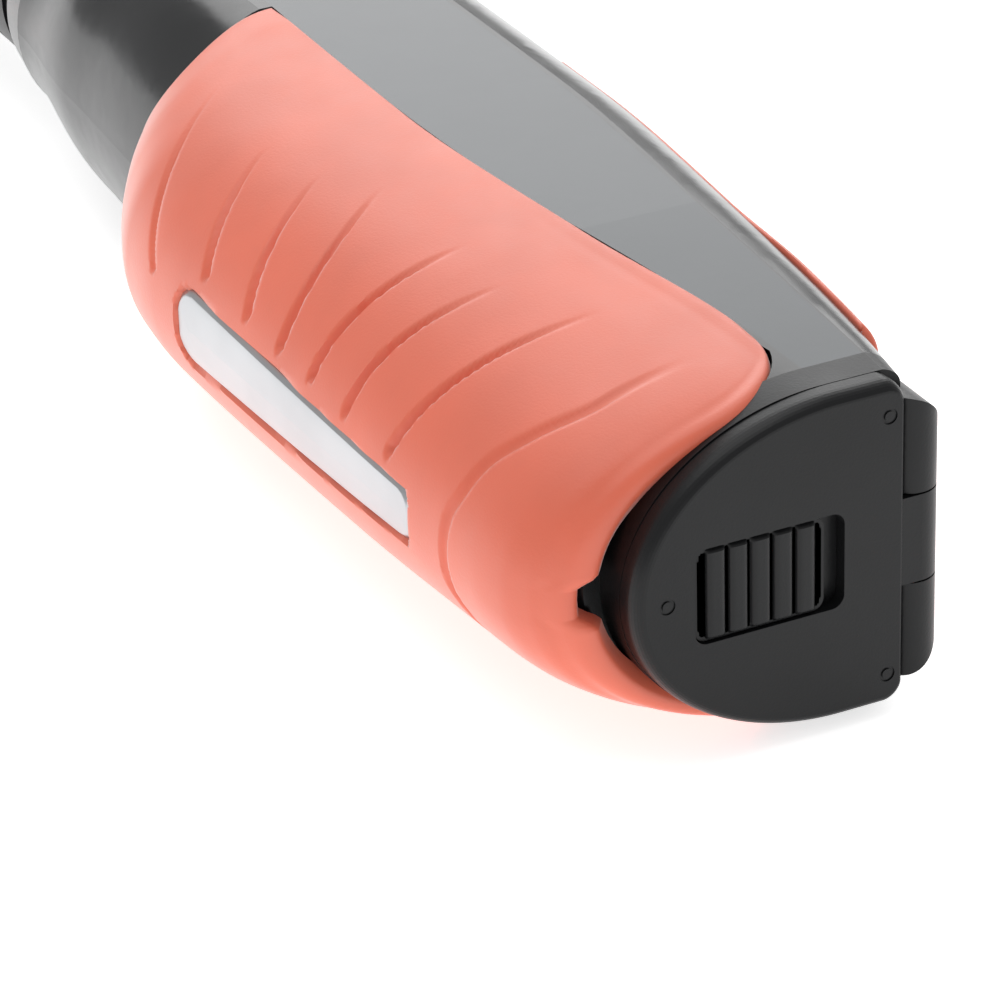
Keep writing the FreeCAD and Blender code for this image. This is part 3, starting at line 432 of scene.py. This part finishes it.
def build_thumb_grip():
    near = [0, 0.05, 0.15, 0.3, 0.5, 0.75, 1.05]
    u = spaced(88.0, 0.4, near)[:, None]
    s = (2 * spaced(34.0, 0.6, near) - 1)[None, :]
    z_guess = thumb_point(np.full(s.shape, 50.0), s)[..., 2]
    rear = PAD_REAR + 0.01 * z_guess ** 2
    front = PAD_FRONT - 0.05 * z_guess ** 2
    x = rear + (front - rear) * u
    s = np.broadcast_to(s, x.shape)
    points = thumb_point(x, s)
    points[..., 2] = np.clip(points[..., 2], -PAD_HALF, PAD_HALF)
    normals = grid_normals(points, 8.0)
    depth = np.zeros(x.shape)
    for i in range(PAD_GROOVES):
        centre = GROOVE_START + GROOVE_PITCH * i - 0.018 * points[..., 2] ** 2
        off = np.abs(x - centre) / 0.7
        depth = np.maximum(depth, 0.45 * np.clip(1 - off ** 2, 0, 1) ** 0.8 * ease((0.66 - np.abs(s)) / 0.3))
    edge = np.minimum(np.minimum(x - rear, front - x), (1 - np.abs(s)) * 17)
    depth += roll(edge, 0.6)
    outer = points - normals * depth[..., None]
    verts, faces = shell_mesh(outer, normals, np.full(x.shape, 1.3))
    pad = add_object("thumb_grip_pad", verts, faces, MATERIALS["orange_soft"], "handle", 50)
    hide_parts("thumb_grip")


build_thumb_grip()

# ---- latch slider: cap with five broad ribs, over the CAD tongue ----
CAP = (9.0, 23.45, 5.13)                       # y from, y to and half height of the cap
RIB_START, RIB_PITCH, RIB_COUNT = 21.15, 2.5, 5
FACE_X, RIB_HIGH = 0.45, 0.48                  # the cap's face, just outside the CAD one, and its ribs


def build_latch():
    near = [0, 0.05, 0.15, 0.3, 0.5]
    y = CAP[0] + (CAP[1] - CAP[0]) * spaced(CAP[1] - CAP[0], 0.1, near)[:, None]
    z = CAP[2] * (2 * spaced(2 * CAP[2], 0.16, near) - 1)[None, :]
    y, z = np.broadcast_arrays(y, z)
    rise = np.zeros(y.shape)
    for i in range(RIB_COUNT):
        off = (y - RIB_START + RIB_PITCH * i) / 1.05
        end = ease((CAP[2] - 0.1 - np.abs(z)) / 0.4)
        crown = np.clip(1 - off ** 4, 0, 1) ** 0.5
        rise = np.maximum(rise, RIB_HIGH * crown * end)
    corner = 1.25
    dy = np.maximum(np.maximum(CAP[0] + corner - y, y - CAP[1] + corner), 0)
    dz = np.maximum(np.abs(z) - CAP[2] + corner, 0)
    over = np.hypot(dy, dz)
    pull = np.where(over > corner, corner / np.maximum(over, 1e-6), 1.0)
    centre_y = np.clip(y, CAP[0] + corner, CAP[1] - corner)
    centre_z = np.clip(z, -CAP[2] + corner, CAP[2] - corner)
    y, z = centre_y + (y - centre_y) * pull, centre_z + (z - centre_z) * pull
    edge = np.clip(corner - over, 0, None)
    x = FACE_X - rise + roll(edge, 0.3)
    outer = np.stack([x, y, z], -1)
    normals = np.zeros(outer.shape)
    normals[..., 0] = -1
    verts, faces = shell_mesh(outer, normals, 1.0 - (x - FACE_X))
    add_object("latch_cap", verts, faces, MATERIALS["black_matte"], "latch", 40)


build_latch()

# ---- camera, light and floor ----
def look_matrix(azimuth, elevation, tilt):
    """Rows: right, up and back of a camera that looks at the object from this side."""
    a, e, r = (math.radians(v) for v in (azimuth, elevation, tilt))
    back = np.array([math.sin(a) * math.cos(e), -math.cos(a) * math.cos(e), math.sin(e)])
    right = np.cross([0, 0, 1], back)
    right /= np.linalg.norm(right)
    up = np.cross(back, right)
    turn = np.array([[math.cos(r), math.sin(r), 0], [-math.sin(r), math.cos(r), 0], [0, 0, 1]])
    return turn @ np.array([right, up, back])


def add_camera():
    axes = look_matrix(244.0, 28.0, -1.72)
    target = np.array([39.9, -4.18, -492.3])       # the handle frame's origin as the camera sees it
    data = bpy.data.cameras.new("camera")
    data.lens, data.sensor_width, data.clip_start = 180.0, 36.0, 0.01
    camera = bpy.data.objects.new("camera", data)
    bpy.context.scene.collection.objects.link(camera)
    place = np.eye(4)
    place[:3, :3] = axes.T
    place[:3, 3] = (SHIFT - axes.T @ target) * MM
    camera.matrix_world = Matrix(place.tolist())
    bpy.context.scene.camera = camera


def soft_box(name, place, size, power, aim=(0.0, 0.0, 0.02)):
    data = bpy.data.lights.new(name, "AREA")
    data.shape, data.size, data.size_y, data.energy = "RECTANGLE", size[0], size[1], power
    light = bpy.data.objects.new(name, data)
    bpy.context.scene.collection.objects.link(light)
    light.location = place
    light.rotation_mode = "QUATERNION"
    light.rotation_quaternion = (Vector(aim) - Vector(place)).to_track_quat("-Z", "Y")


add_camera()
scene = bpy.context.scene
scene.view_settings.view_transform = "Standard"
world = bpy.data.worlds.new("studio")
scene.world = world
world.use_nodes = True
world.node_tree.nodes["Background"].inputs["Color"].default_value = (1, 1, 1, 1)
world.node_tree.nodes["Background"].inputs["Strength"].default_value = 0.52
soft_box("far_box", (0.75, -0.36, 0.52), (0.9, 0.7), 5.0)
soft_box("top_box", (0.1, 0.15, 0.9), (0.8, 0.8), 3.0)
half_floor, level = 4.0, -PROUD * MM
floor_mesh = bpy.data.meshes.new("floor")
floor_mesh.from_pydata([(-half_floor, -half_floor, level), (half_floor, -half_floor, level),
                        (half_floor, half_floor, level), (-half_floor, half_floor, level)],
                       [], [(0, 1, 2, 3)])
floor_mesh.materials.append(node_material("floor", (0.93, 0.93, 0.93), 0.7, spread=0.01, grain=(40.0, 0.01),
                                          **{"Emission Color": (1, 1, 1, 1), "Emission Strength": 0.68}))
floor = bpy.data.objects.new("floor", floor_mesh)
scene.collection.objects.link(floor)
